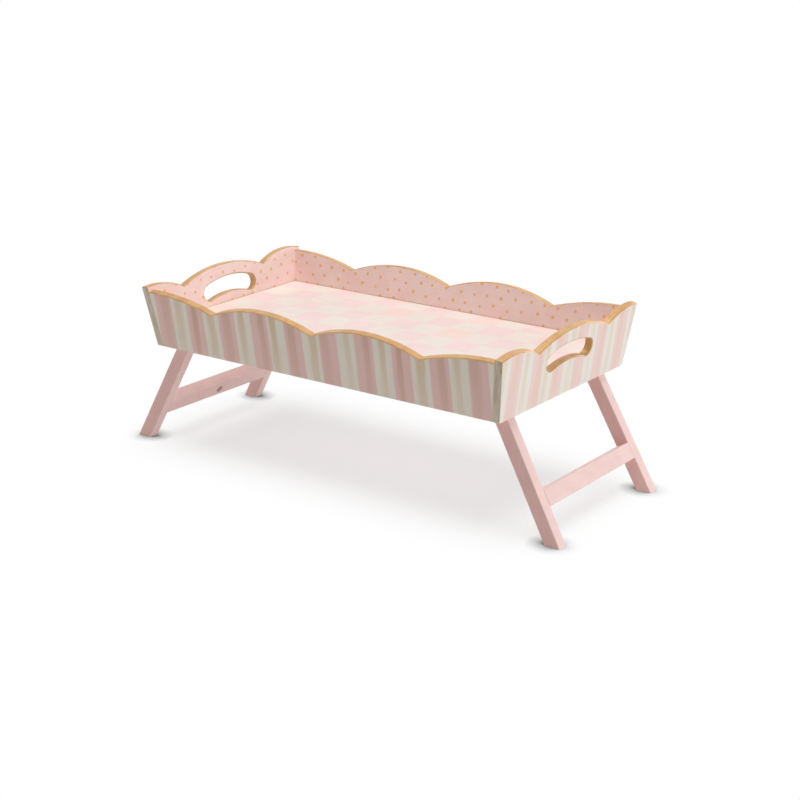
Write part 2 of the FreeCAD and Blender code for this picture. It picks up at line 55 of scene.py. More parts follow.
def tangent(angle):
    return math.tan(math.radians(angle))


# ---- sizes of the tray, as built ----

BOTTOM_LENGTH, BOTTOM_WIDTH, BOARD = 610, 317, 12
END_FLARE, SIDE_FLARE = 8.1, 9.1
LEG_DROP, DECK_RISE, DECK_BOARD = 165, 36.5, 9
LEG_SLANT, LEG_SPLAY, LEG_DEPTH, LEG_WIDTH, LEG_INSET = 29, 2.1, 21, 17, 22
STOP_GAP, SIDE_PLAY, MAGNET_PROUD, CATCH_GAP, BLOCK_LIFT = 0.3, 0.5, 0.9, 0.3, 2
GRIP_RISE, GRIP_WIDTH, GRIP_RADIUS, GRIP_HALF_ANGLE = 62.5, 24.5, 158, 17

# Each scallop's middle along its wall, the height of its crest up the board, and its radius.
SIDE_SCALLOPS = ((-292, 85.3, 340), (-91.5, 87, 235), (91.5, 87, 235), (292, 85.3, 340))
END_SCALLOPS = ((-141, 92.5, 124), (8, 95, 244), (157, 92.5, 124))

DECK_TOP = LEG_DROP + DECK_RISE
END_INNER = BOTTOM_LENGTH / 2 - BOARD / cosine(END_FLARE)
SIDE_INNER = BOTTOM_WIDTH / 2 - BOARD / cosine(SIDE_FLARE)

# The pivots: a folded frame lies under the magnets, an open one leans on the end wall's inner edge.
PIVOT_RISE = DECK_RISE - DECK_BOARD - MAGNET_PROUD - CATCH_GAP - LEG_DEPTH / 2
PIVOT_Z = LEG_DROP + PIVOT_RISE
PIVOT_X = END_INNER - (LEG_DEPTH / 2 + STOP_GAP + PIVOT_RISE * sine(LEG_SLANT)) / cosine(LEG_SLANT)
LEG_OUTER = SIDE_INNER - LEG_INSET
HEAD_SEAT = LEG_OUTER - LEG_WIDTH / cosine(LEG_SPLAY) - SIDE_PLAY

# The middle of a sole, with the legs open.
FOOT_X = PIVOT_X + PIVOT_Z * tangent(LEG_SLANT)
FOOT_Y = LEG_OUTER - LEG_WIDTH / 2 + PIVOT_Z / cosine(LEG_SLANT) * tangent(LEG_SPLAY)

# ---- sizes of the patterns ----

LONG_STRIPE, END_STRIPE, CHECK = 31, 27.3, 45.2
DOT_PITCH, DOT_ROW, DOT_RADIUS = 25, 30, 2.2
DOT_SWING_ALONG, DOT_SWING_UP, DOT_GROWTH = 5.5, 5.0, 0.7

# Where each fades, from its first number to its second: the gold from a wall's rim, the line from the
# deck up a wall, the line from the walls over the deck, and a dot from its edge.
RIM_FADE, WALL_LINE_FADE, DECK_LINE_FADE, DOT_FADE = (1.25, 1.75), (0.6, 1.5), (1.0, 2.2), (-0.35, 0.45)
LINE_SHARE, DOT_SHARE = 0.35, 0.95

# ---- colours, as sRGB ----

GOLD, GOLD_DARK = (212, 165, 105), (197, 144, 81)
DOT_GOLD = (246, 192, 128)
DECK_CREAM, DECK_CREAM_DEEP = (243, 231, 222), (240, 227, 214)
DECK_PINK, DECK_PINK_DEEP, DECK_PEACH = (247, 222, 218), (243, 211, 208), (251, 224, 209)
WALL_PINK, WALL_PINK_DEEP = (254, 227, 220), (251, 216, 208)
# The last leg pink is painted shade, a deeper pink for the legs' faces that look along the pivots.
LEG_PINK, LEG_PINK_CLOUD, LEG_PINK_PAINTED_SHADE = (244, 212, 207), (232, 194, 190), (228, 179, 171)
# The board ends are a greyer cream than the stripes, as painted shade, with brown streaks on them.
BOARD_END_SHADED_CREAM, BOARD_END_BROWN = (206, 194, 174), (170, 142, 112)
BEECH, BEECH_DARK = (222, 190, 148), (196, 158, 112)
ZINC, SCREW_ZINC, NICKEL, BRONZE = (190, 188, 184), (198, 196, 192), (206, 205, 202), (186, 152, 138)

# The cream stripes and the wash on them, then the pink ones and theirs.
LONG_STRIPES = ((230, 221, 206), (209, 183, 147), (228, 190, 183), (203, 162, 138))
END_STRIPES = ((241, 234, 224), (232, 217, 192), (243, 215, 208), (238, 204, 184))


def linear(colour):
    """An sRGB colour of 0 to 255 as the linear one of a shader's socket."""
    return tuple(
        value / 255 / 12.92 if value / 255 <= 0.04045 else ((value / 255 + 0.055) / 1.055) ** 2.4
        for value in colour
    ) + (1.0,)


# ---- fields: numbers, vectors and colours that vary over a surface ----

class Field:
    """A socket of a node tree. Arithmetic on it adds nodes."""

    def __init__(self, tree, socket):
        self.tree = tree
        self.socket = socket

    def math(self, operation, *others):
        return self.tree.add("ShaderNodeMath", self, *others, operation=operation)

    def __add__(self, other):
        return self.math("ADD", other)

    def __sub__(self, other):
        return self.math("SUBTRACT", other)

    def __mul__(self, other):
        return self.math("MULTIPLY", other)

    def __truediv__(self, other):
        return self.math("DIVIDE", other)

    def __neg__(self):
        return self.math("MULTIPLY", -1)

    def __abs__(self):
        return self.math("ABSOLUTE")

    def floor(self):
        return self.math("FLOOR")

    def sqrt(self):
        return self.math("SQRT")

    def least(self, other):
        return self.math("MINIMUM", other)

    def most(self, other):
        return self.math("MAXIMUM", other)

    def zigzag(self):
        """Up from 0 to 1 and down again, turning at every whole number."""
        return self.math("PINGPONG", 1)

    def below(self, limit):
        return self.math("LESS_THAN", limit)

    def above(self, limit):
        return self.math("GREATER_THAN", limit)

    def step(self, low, high):
        """0 below low, 1 above high and smooth between."""
        node = self.tree.node("ShaderNodeMapRange", self, low, high, 0, 1, interpolation_type="SMOOTHSTEP")
        return Field(self.tree, node.outputs[0])

    def ramp(self, low, high, start, end):
        """From start at low to end at high, in a straight line, and no further."""
        node = self.tree.node("ShaderNodeMapRange", self, low, high, start, end)
        return Field(self.tree, node.outputs[0])

    def parts(self):
        node = self.tree.node("ShaderNodeSeparateXYZ", self)
        return [Field(self.tree, socket) for socket in node.outputs]

    def vector(self, operation, other):
        return self.tree.add("ShaderNodeVectorMath", self, other, operation=operation)


class Paint:
    """A material whose look comes from nodes alone. Its roughness counts where no node feeds that."""

    def __init__(self, name, roughness, coat=0.0):
        self.material = bpy.data.materials.new(name)
        self.material.use_nodes = True
        self.nodes = self.material.node_tree.nodes
        self.links = self.material.node_tree.links
        self.shader = self.nodes["Principled BSDF"]
        self.shader.inputs["Roughness"].default_value = roughness
        self.shader.inputs["Coat Weight"].default_value = coat
        self.shader.inputs["Coat Roughness"].default_value = 0.25

    def node(self, kind, *values, **settings):
        """A new node. Settings set its attributes, and values feed its inputs in order."""
        node = self.nodes.new(kind)
        for name, setting in settings.items():
            setattr(node, name, setting)
        for socket, value in zip([s for s in node.inputs if s.enabled], values):
            self.feed(socket, value)
        return node

    def add(self, kind, *values, **settings):
        """A new node's first output."""
        node = self.node(kind, *values, **settings)
        return Field(self, next(s for s in node.outputs if s.enabled))

    def feed(self, socket, value):
        """The socket takes a field as a link and anything else as its own value."""
        if isinstance(value, Field):
            self.links.new(value.socket, socket)
        else:
            socket.default_value = value

    def place(self):
        """The spot on the tray, in millimetres."""
        spot = Field(self, self.node("ShaderNodeTexCoord").outputs["Object"])
        return spot.vector("MULTIPLY", (1 / MM, 1 / MM, 1 / MM))

    def facing(self):
        """The surface's direction in the tray's frame."""
        return Field(self, self.node("ShaderNodeTexCoord").outputs["Normal"])

    def turned(self, spot, location, rotation):
        """The spot as seen from a frame at that location and rotation."""
        node = self.node("ShaderNodeMapping", spot, location, rotation, vector_type="TEXTURE")
        return Field(self, node.outputs[0])

    def combine(self, x, y, z):
        return self.add("ShaderNodeCombineXYZ", x, y, z)

    def noise(self, spot, size, detail, roughness=0.5, spread=(1, 1, 1)):
        """Noise of 0 to 1 about 0.5, with blobs of about that size, drawn out by spread."""
        drawn = spot.vector("DIVIDE", tuple(size * s for s in spread))
        node = self.node("ShaderNodeTexNoise", drawn, 1.0, detail, roughness)
        return Field(self, node.outputs[0])

    def chance(self, x, y):
        """A random number of 0 to 1 for each whole x and y."""
        node = self.node("ShaderNodeTexWhiteNoise", self.combine(x, y, 0.0))
        return Field(self, node.outputs["Value"])

    def blend(self, share, low, high, mode="MIX"):
        """The colour low where share is 0 and high where it is 1."""
        node = self.nodes.new("ShaderNodeMix")
        node.data_type = "RGBA"
        node.blend_type = mode
        for socket, value in ((node.inputs[0], share), (node.inputs[6], low), (node.inputs[7], high)):
            self.feed(socket, linear(value) if isinstance(value, tuple) else value)
        return Field(self, node.outputs[2])

    def finish(self, colour, height, bump, **inputs):
        """Feeds the shader. The height is in millimetres, and bump is how much of it shows."""
        self.feed(self.shader.inputs["Base Color"], colour)
        for name, value in inputs.items():
            self.feed(self.shader.inputs[name.replace("_", " ").title()], value)
        node = self.node("ShaderNodeBump")
        node.inputs["Strength"].default_value = bump
        node.inputs["Distance"].default_value = MM
        self.feed(node.inputs["Height"], height)
        self.links.new(node.outputs["Normal"], self.shader.inputs["Normal"])
        return self.material


# ---- painted surfaces ----

def shaded(paint, colour, share, depth):
    """The colour made darker where the share is low and a little lighter where it is high."""
    factor = share.ramp(0.25, 0.75, 1 - depth, 1 + depth * 0.35)
    grey = paint.combine(factor, factor, factor)
    return paint.blend(1.0, colour, grey, mode="MULTIPLY")


def dots(paint, along, up, shift):
    """How far each spot is from its nearest dot's edge. Every dot is a little out of its row.

    The odd numbers inside chance only keep its draws apart.
    """
    column = (along / DOT_PITCH + shift).floor()
    row = (up / DOT_ROW + shift).floor()
    swing_along = (paint.chance(column + 31.7, row + shift * 9.3) - 0.5) * DOT_SWING_ALONG
    swing_up = (paint.chance(column - 12.4, row + shift * 5.1 + 47.0) - 0.5) * DOT_SWING_UP
    growth = paint.chance(column + 3.3, row - 8.9 + shift) * DOT_GROWTH
    x = along - (column + 0.5 - shift) * DOT_PITCH - swing_along
    z = up - (row + 0.5 - shift) * DOT_ROW - swing_up
    return (x * x + z * z).sqrt() - growth - DOT_RADIUS


def scallop_depth(along, up, scallops):
    """How far a spot lies inside the outline that the scallops' circles draw."""
    depth = None
    for middle, crest, radius in scallops:
        x = along - middle
        z = up - (crest - radius)
        inside = -((x * x + z * z).sqrt() - radius)
        depth = inside if depth is None else depth.most(inside)
    return depth


def grip_depth(along, up):
    """How far a spot lies from the rim of the hand hole."""
    z = up - (GRIP_RISE - GRIP_RADIUS)
    limit = math.radians(GRIP_HALF_ANGLE)
    angle = along.math("ARCTAN2", z).most(-limit).least(limit)
    x_off = along - angle.math("SINE") * GRIP_RADIUS
    z_off = z - angle.math("COSINE") * GRIP_RADIUS
    return (x_off * x_off + z_off * z_off).sqrt() - GRIP_WIDTH / 2


def gold_leaf(paint, spot):
    """Ochre gold paint, brushed on by hand and thicker in places."""
    cloud = paint.noise(spot, size=24, detail=3)
    brush = paint.noise(spot, size=2.5, detail=3, spread=(7, 1, 1))
    return shaded(paint, paint.blend(cloud.step(0.38, 0.72), GOLD, GOLD_DARK), brush, depth=0.08)


def striped(paint, spot, along, edge, width, colours):
    """Upright hand-painted stripes, cream in the middle, each with a broad wash down its length.

    It gives their colour and the fine grain of their brush.
    """
    cream, cream_wash, pink, pink_wash = colours
    waver = (paint.noise(spot, size=60, detail=3) - 0.5) * 0.10
    across = along / width + waver
    softness = 0.035
    is_pink = across.zigzag().step(0.5 - softness, 0.5 + softness)

    # Each stripe draws its own wash: where its middle lies, how far it reaches and how strong it is.
    index = (across + 0.5).floor()
    phase = across + 0.5 - index
    middle = paint.chance(index, 4.0) * 0.36 + 0.28
    reach = paint.chance(index, 9.0) * 0.16 + 0.2
    strength = paint.chance(index, 15.0) * 0.55 + 0.45
    streak = paint.noise(spot, size=7, detail=3, spread=(1, 1, 12))
    far = abs(phase - middle) / reach + (streak - 0.5) * 1.3
    wash = -(far.step(0.35, 1.15) - 1) * strength * edge.ramp(0, 75, 1.0, 0.5)

    light = paint.blend(wash, cream, cream_wash)
    dark = paint.blend(wash, pink, pink_wash)
    colour = paint.blend(is_pink, light, dark)
    fine = paint.noise(spot, size=1.6, detail=3, roughness=0.6, spread=(1, 1, 40))
    return shaded(paint, colour, fine, depth=0.06), fine


def wall_inside(paint, spot, along, height, wobble):
    """Plain pink with gold dots and a gold line along the deck, and the pink of the legs under the deck.

    It gives their colour, the dots' share and the brush marks. The height is counted from the deck.
    """
    mottle = paint.noise(spot, size=38, detail=4, roughness=0.6)
    colour = paint.blend(mottle.step(0.3, 0.75), WALL_PINK, WALL_PINK_DEEP)
    gap = dots(paint, along, height, 0.0).least(dots(paint, along, height, 0.5))
    blot = (paint.noise(spot, size=4, detail=2) - 0.5) * 1.1
    dotted = -((gap + blot).step(*DOT_FADE) - 1) * height.above(-1)
    colour = paint.blend(dotted * DOT_SHARE, colour, DOT_GOLD)
    line = -((height + wobble * 0.5).step(*WALL_LINE_FADE) - 1)
    colour = paint.blend(line * LINE_SHARE, colour, GOLD)
    colour = paint.blend(height.below(-1), colour, LEG_PINK)
    brush = paint.noise(spot, size=3, detail=3, spread=(12, 1, 1))
    return shaded(paint, colour, brush, depth=0.04), dotted, brush


def wall_paint(name, yaw, outward, flare, scallops, grip, stripe, colours):
    """A wall's paint, drawn on its board as it leans: stripes outside, dots inside and gold at the rims."""
    paint = Paint(name, roughness=0.42, coat=0.12)
    turn = Matrix.Rotation(math.radians(yaw), 3, "Z")
    base = turn @ Vector((0, -outward, LEG_DROP))
    rotation = (math.radians(flare), 0, math.radians(yaw))
    world = paint.place()
    spot = paint.turned(world, base, rotation)
    along, _, up = spot.parts()
    facing_along, facing_in, _ = paint.turned(paint.facing(), (0, 0, 0), rotation).parts()

    edge = scallop_depth(along, up, scallops)
    rim = edge.least(grip_depth(along, up)) if grip else edge
    wobble = (paint.noise(spot, size=14, detail=3) - 0.5) * 1.6
    past_rim = (rim + wobble).step(*RIM_FADE)

    stripes, fine = striped(paint, spot, along, edge, stripe, colours)
    # The board ends that face along the wall are a greyer cream than the stripes, which is painted shade,
    # with brown streaks that grow toward the top.
    grain = paint.noise(spot, size=6, detail=3, spread=(1, 1, 7))
    brown_streaks = grain.step(0.35, 0.72) * edge.ramp(0, 70, 1.0, 0.45)
    board_end = paint.blend(brown_streaks, BOARD_END_SHADED_CREAM, BOARD_END_BROWN)
    outside = paint.blend(abs(facing_along).above(0.85), stripes, board_end)

    height = world.parts()[2] - DECK_TOP
    inside, dotted, brush = wall_inside(paint, spot, along, height, wobble)
    faces_in = facing_in.above(0.9)
    colour = paint.blend(faces_in, outside, inside)
    colour = paint.blend(past_rim, gold_leaf(paint, spot), colour)

    relief = fine * 0.35 + brush * 0.35 + dotted * faces_in * 0.5
    shine = fine.ramp(0.2, 0.8, 0.36, 0.5)
    metal = -(past_rim - 1) * 0.1
    return paint.finish(colour, relief, bump=0.35, roughness=shine, metallic=metal)


def deck_paint():
    """Cream and pink checks, some of the pink ones peach, inside a thin gold line."""
    paint = Paint("deck_checks", roughness=0.5, coat=0.08)
    spot = paint.place()
    x, y, z = spot.parts()
    drift = paint.noise(spot, size=30, detail=3)
    other = paint.noise(spot.vector("ADD", (70, 20, 0)), size=30, detail=3)
    across = x / CHECK + (drift - 0.5) * 0.12
    deep = y / CHECK + (other - 0.5) * 0.12
    softness = 0.08
    odd_x = across.zigzag().step(0.5 - softness, 0.5 + softness)
    odd_y = deep.zigzag().step(0.5 - softness, 0.5 + softness)
    is_pink = odd_x + odd_y - odd_x * odd_y * 2
    chance = paint.chance((across + 0.5).floor(), (deep + 0.5).floor())
    cloud = paint.noise(spot, size=26, detail=4, roughness=0.62)
    peachy = chance.above(0.8) * cloud.step(0.2, 0.7)
    pink = paint.blend(peachy, DECK_PINK, DECK_PEACH)
    pink = paint.blend(cloud.step(0.45, 0.8) * 0.45, pink, DECK_PINK_DEEP)
    cream = paint.blend(cloud.step(0.4, 0.75) * 0.5, DECK_CREAM, DECK_CREAM_DEEP)
    colour = paint.blend(is_pink, cream, pink)

    # The line follows the walls' inner faces at the deck's top.
    half_x = END_INNER + tangent(END_FLARE) * DECK_RISE
    half_y = SIDE_INNER + tangent(SIDE_FLARE) * DECK_RISE
    margin = (-(abs(x) - half_x)).least(-(abs(y) - half_y))
    line = -((margin + (drift - 0.5) * 1.5).step(*DECK_LINE_FADE) - 1)
    colour = paint.blend(line * LINE_SHARE, colour, GOLD)

    colour = paint.blend(z.below(DECK_TOP - 1), colour, LEG_PINK)
    brush = paint.noise(spot, size=2.5, detail=4, spread=(14, 1, 1))
    shine = cloud.ramp(0.2, 0.8, 0.46, 0.58)
    return paint.finish(shaded(paint, colour, brush, depth=0.035), brush * 0.4, bump=0.3, roughness=shine)


def plain_pink(name, rotation, spread, painted_shade=0.0):
    """One coat of pink brushed along the grain, with painted shade: a deeper pink on the faces that look
    along the pivots.
    """
    paint = Paint(name, roughness=0.45, coat=0.08)
    spot = paint.turned(paint.place(), (0, 0, 0), rotation)
    cloud = paint.noise(spot, size=34, detail=4, roughness=0.6)
    brush = paint.noise(spot, size=2.2, detail=4, spread=spread)
    colour = paint.blend(cloud.step(0.3, 0.8) * 0.55, LEG_PINK, LEG_PINK_CLOUD)
    # Painted shade: the faces that look along the pivots turn a deeper pink.
    shaded_sides = abs(paint.facing().parts()[1]).step(0.6, 0.9)
    colour = paint.blend(shaded_sides * painted_shade, colour, LEG_PINK_PAINTED_SHADE)
    shine = brush.ramp(0.2, 0.8, 0.4, 0.52)
    return paint.finish(shaded(paint, colour, brush, depth=0.05), brush * 0.4, bump=0.35, roughness=shine)


def steel(name, colour, roughness, grain, metallic=1.0):
    """Plated steel, mottled with specks of about the size of the grain."""
    paint = Paint(name, roughness=roughness)
    speck = paint.noise(paint.place(), size=grain, detail=4, roughness=0.6)
    tint = paint.blend(speck.step(0.3, 0.75), colour, tuple(value * 0.82 for value in colour))
    shine = speck.ramp(0.2, 0.8, roughness, roughness + 0.12)
    return paint.finish(tint, speck * 0.2, bump=0.2, roughness=shine, metallic=metallic)


def bare_beech():
    """The dowels' wood. They lie across the tray, and so does its grain."""
    paint = Paint("beech", roughness=0.6)
    grain = paint.noise(paint.place(), size=1.4, detail=4, spread=(1, 14, 1))
    return paint.finish(paint.blend(grain.step(0.3, 0.7), BEECH, BEECH_DARK), grain * 0.4, bump=0.3)


def give(node, material):
    """The node's every face takes the material."""
    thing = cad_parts[node]
    for slot in thing.material_slots:
        slot.material = material
    if not thing.material_slots:
        thing.data.materials.append(material)


# Each wall's name, its turn, how far out its bottom edge lies, its flare, its scallops, whether it has a
# hand hole, and the width and colours of its stripes.
WALLS = (
    ("front_wall", 0, BOTTOM_WIDTH / 2, SIDE_FLARE, SIDE_SCALLOPS, False, LONG_STRIPE, LONG_STRIPES),
    ("back_wall", 180, BOTTOM_WIDTH / 2, SIDE_FLARE, SIDE_SCALLOPS, False, LONG_STRIPE, LONG_STRIPES),
    ("left_end_wall", -90, BOTTOM_LENGTH / 2, END_FLARE, END_SCALLOPS, True, END_STRIPE, END_STRIPES),
    ("right_end_wall", 90, BOTTOM_LENGTH / 2, END_FLARE, END_SCALLOPS, True, END_STRIPE, END_STRIPES),
)
for wall in WALLS:
    give(wall[0], wall_paint(f"{wall[0]}_paint", *wall[1:]))

give("deck_panel", deck_paint())
block_pink = plain_pink("block_pink", (0, 0, 0), (10, 1, 1))
zinc = steel("zinc", ZINC, roughness=0.32, grain=3)
nickel = steel("nickel", NICKEL, roughness=0.2, grain=5)
bronzed = steel("bronzed_steel", BRONZE, roughness=0.45, grain=2, metallic=0.4)
beech = bare_beech()
for side, sign in (("left", -1), ("right", 1)):
    lean = (0, -math.radians(LEG_SLANT) * sign, 0)
    # The legs get painted shade on their faces that look along the pivots.
    leg_pink = plain_pink(f"{side}_leg_pink", lean, (1, 1, 14), painted_shade=0.7)
    rail_pink = plain_pink(f"{side}_rail_pink", lean, (1, 14, 1))
    for row in ("front", "back"):
        give(f"{row}_{side}_leg", leg_pink)
        give(f"{row}_{side}_pivot_block", block_pink)
    give(f"{side}_stretcher", rail_pink)
    give(f"{side}_pivot_washers", zinc)
    give(f"{side}_catch_magnet", nickel)
    give(f"{side}_strike_disc", bronzed)
    give(f"{side}_stretcher_dowels", beech)

# ---- screws ----

SCREW_SIDES = 48
SHARP_ANGLE = 35


def round_rim(angle):
    """The same reach all round."""
    return 1.0


def hexagon(angle):
    """Six flats, at a distance of 1 from the middle."""
    return 1 / math.cos((angle + math.pi / 6) % (math.pi / 3) - math.pi / 6)


def cross(angle):
    """Four arms that reach out to 1."""
    return 0.34 + 0.66 * abs(math.cos(2 * angle)) ** 4


def turn_screw(mesh, stations, place):
    """A screw about place's Z axis. Its stations are heights, radii and rims, from the drive's bottom."""
    rings = []
    for height, radius, rim in stations:
        ring = []
        for step in range(SCREW_SIDES):
            angle = 2 * math.pi * step / SCREW_SIDES
            reach = radius * rim(angle)
            spot = Vector((reach * math.cos(angle), reach * math.sin(angle), height))
            ring.append(mesh.verts.new(place @ spot * MM))
        rings.append(ring)
    for lower, upper in zip(rings, rings[1:]):
        for step in range(SCREW_SIDES):
            after = (step + 1) % SCREW_SIDES
            mesh.faces.new((lower[step], lower[after], upper[after], upper[step]))
    for ring, (height, _, _) in ((rings[0], stations[0]), (rings[-1], stations[-1])):
        middle = mesh.verts.new(place @ Vector((0, 0, height)) * MM)
        for step in range(SCREW_SIDES):
            mesh.faces.new((ring[step], ring[(step + 1) % SCREW_SIDES], middle))


def screws(name, stations, places, material, stand_for=None):
    """One piece of the tray with a screw at each place. It may stand for a CAD node."""
    work = bmesh.new()
    for place in places:
        turn_screw(work, stations, place)
    bmesh.ops.recalc_face_normals(work, faces=work.faces)
    mesh = bpy.data.meshes.new(name)
    work.to_mesh(mesh)
    work.free()
    mesh.polygons.foreach_set("use_smooth", [True] * len(mesh.polygons))
    mesh.set_sharp_from_angle(angle=math.radians(SHARP_ANGLE))
    mesh.materials.append(material)
    thing = bpy.data.objects.new(name, mesh)
    bpy.context.scene.collection.objects.link(thing)
    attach(thing, "tray")
    if stand_for:
        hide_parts(stand_for)


# A screw's heights count from the top of its head, along its axis.
PIVOT_HEAD, PIVOT_HEAD_RADIUS, PIVOT_HEAD_EDGE, PIVOT_RADIUS = 2.6, 6.0, 5.8, 3.0
PIVOT_SHOULDER_END, PIVOT_THREAD_LENGTH, PIVOT_TIP_RADIUS = 22.1, 14, 1.2
THREAD_START, THREAD_HALF_TURNS, THREAD_HALF_PITCH, THREAD_CREST, THREAD_ROOT = 0.4, 17, 0.8, 2.4, 1.95
PIVOT_HEAD_TOP = HEAD_SEAT - PIVOT_HEAD

PIVOT_SCREW = [
    (1.7, 1.9, hexagon),
    (0.3, 2.0, hexagon),
    (0.05, 2.55, round_rim),
    (0.0, 3.2, round_rim),
    (0.2, 4.4, round_rim),
    (0.65, 5.3, round_rim),
    (1.25, PIVOT_HEAD_EDGE, round_rim),
    (1.9, PIVOT_HEAD_RADIUS, round_rim),
    (PIVOT_HEAD - 0.25, PIVOT_HEAD_RADIUS, round_rim),
    (PIVOT_HEAD, PIVOT_HEAD_EDGE, round_rim),
    (PIVOT_HEAD, PIVOT_RADIUS, round_rim),
    (PIVOT_SHOULDER_END, PIVOT_RADIUS, round_rim),
]
for turn in range(THREAD_HALF_TURNS):
    thread_height = PIVOT_SHOULDER_END + THREAD_START + turn * THREAD_HALF_PITCH
    PIVOT_SCREW.append((thread_height, THREAD_CREST if turn % 2 else THREAD_ROOT, round_rim))
PIVOT_SCREW.append((PIVOT_SHOULDER_END + PIVOT_THREAD_LENGTH, PIVOT_TIP_RADIUS, round_rim))

BLOCK_UNDERSIDE, BLOCK_SCREW_Y, BLOCK_SCREW_SPREAD = LEG_DROP + BLOCK_LIFT, 136.5, 13
PAN_HEAD, PAN_HEAD_RADIUS, BLOCK_SHANK, BLOCK_SHANK_RADIUS = 1.8, 3.5, 4, 1.6
BLOCK_SCREW = (
    (1.3, 0.5, cross),
    (0.15, 1.75, cross),
    (0.0, 1.95, round_rim),
    (0.08, 2.6, round_rim),
    (0.45, 3.15, round_rim),
    (0.95, 3.45, round_rim),
    (PAN_HEAD, PAN_HEAD_RADIUS, round_rim),
    (PAN_HEAD, BLOCK_SHANK_RADIUS, round_rim),
    (PAN_HEAD + BLOCK_SHANK, BLOCK_SHANK_RADIUS, round_rim),
)

# Each of a block's two screws: where it sits along the block, and how far its cross is turned.
BLOCK_SCREW_SPOTS = ((-BLOCK_SCREW_SPREAD, 0.3), (BLOCK_SCREW_SPREAD, 1.1))

zinc_screw = steel("zinc_screw", SCREW_ZINC, roughness=0.28, grain=2)
for side, sign in (("left", -1), ("right", 1)):
    places = [
        Matrix.Translation(Vector((sign * PIVOT_X, row * PIVOT_HEAD_TOP, PIVOT_Z)))
        @ Matrix.Rotation(-row * math.pi / 2, 4, "X")
        for row in (-1, 1)
    ]
    screws(f"{side}_shoulder_screws", PIVOT_SCREW, places, zinc_screw, f"{side}_pivot_screws")
    for name, row in (("front", -1), ("back", 1)):
        places = []
        for offset, turn in BLOCK_SCREW_SPOTS:
            head = Vector((sign * PIVOT_X + offset, row * BLOCK_SCREW_Y, BLOCK_UNDERSIDE - PAN_HEAD))
            places.append(Matrix.Translation(head) @ Matrix.Rotation(turn, 4, "Z"))
        screws(f"{name}_{side}_block_screws", BLOCK_SCREW, places, zinc_screw)

# ---- floor, light and camera ----

WHITE = (1, 1, 1, 1)

# The floor: its reach in metres, the grey and the glow that light the tray, and the white the eye sees.
FLOOR_REACH, FLOOR_GREY, FLOOR_GLOW, FLOOR_WHITE = 25, (0.75, 0.75, 0.75, 1), 0.2, (0.95, 1, 1, 1)

# The share of plain white over the shadow inside a rectangle, which lies within the feet by its insets.
# Outside, over the length of the fade, the share rises to all.
SHADOW_LIFT, LIFT_INSET_X, LIFT_INSET_Y, LIFT_FADE = 0.64, 90, 60, 180

# Within this reach of a foot the plain white darkens into a painted contact shadow, down to its least where
# half of the sky is hidden.
CONTACT_REACH, CONTACT_SAMPLES, CONTACT_SKY, CONTACT_LEAST = 26, 12, 0.5, 0.15

WORLD_LIGHT = 0.05

# The camera as fitted to named points of the photograph, in radians and metres. The lens is in millimetres.
CAMERA_AZIMUTH, CAMERA_ELEVATION, CAMERA_ROLL = 0.6412, 0.3192, -0.0035
CAMERA_DISTANCE, CAMERA_TARGET, LENS, SENSOR = 2.3996, (0.02747, 0, 0.10061), 73.7, 36


def make_floor():
    """A pale floor, seen as white with only part of the shadow on it, and clear from below."""
    corners = [(x * FLOOR_REACH, y * FLOOR_REACH, 0) for x, y in ((-1, -1), (1, -1), (1, 1), (-1, 1))]
    mesh = bpy.data.meshes.new("floor")
    mesh.from_pydata(corners, [], [(0, 1, 2, 3)])
    floor = bpy.data.objects.new("floor", mesh)
    bpy.context.scene.collection.objects.link(floor)
    paint = Paint("floor_white", roughness=0.9)
    paint.shader.inputs["Base Color"].default_value = FLOOR_GREY
    paint.shader.inputs["Emission Color"].default_value = WHITE
    paint.shader.inputs["Emission Strength"].default_value = FLOOR_GLOW
    paint.shader.inputs["Specular IOR Level"].default_value = 0.0

    # What the eye sees: a white floor with its shadow, under a share of plain white that darkens into a
    # painted contact shadow near the feet.
    x, y, _ = paint.place().parts()
    out_x = (abs(x) - FOOT_X + LIFT_INSET_X).most(0)
    out_y = (abs(y) - FOOT_Y + LIFT_INSET_Y).most(0)
    away = (out_x * out_x + out_y * out_y).sqrt()
    lift = away.step(0, LIFT_FADE).ramp(0, 1, SHADOW_LIFT, 1.0)
    # Painted contact shadow: ambient occlusion darkens the plain white near the feet.
    near = paint.node("ShaderNodeAmbientOcclusion", samples=CONTACT_SAMPLES)
    near.inputs["Distance"].default_value = CONTACT_REACH * MM
    plain = Field(paint, near.outputs["AO"]).ramp(CONTACT_SKY, 1.0, CONTACT_LEAST, 1.0)
    white = paint.node("ShaderNodeBsdfDiffuse", FLOOR_WHITE)
    glow = paint.node("ShaderNodeEmission", WHITE, plain)
    seen = paint.node("ShaderNodeMixShader", lift)
    paint.links.new(white.outputs[0], seen.inputs[1])
    paint.links.new(glow.outputs[0], seen.inputs[2])

    # The camera and reflections see that, and all other light meets the pale floor.
    rays = paint.node("ShaderNodeLightPath")
    eye = Field(paint, rays.outputs["Is Camera Ray"]).most(Field(paint, rays.outputs["Is Glossy Ray"]))
    mix = paint.node("ShaderNodeMixShader", eye)
    paint.links.new(paint.shader.outputs[0], mix.inputs[1])
    paint.links.new(seen.outputs[0], mix.inputs[2])
    below = paint.node("ShaderNodeNewGeometry").outputs["Backfacing"]
    one_sided = paint.node("ShaderNodeMixShader", Field(paint, below))
    paint.links.new(mix.outputs[0], one_sided.inputs[1])
    paint.links.new(paint.node("ShaderNodeBsdfTransparent").outputs[0], one_sided.inputs[2])
    paint.links.new(one_sided.outputs[0], paint.nodes["Material Output"].inputs[0])
    mesh.materials.append(paint.material)


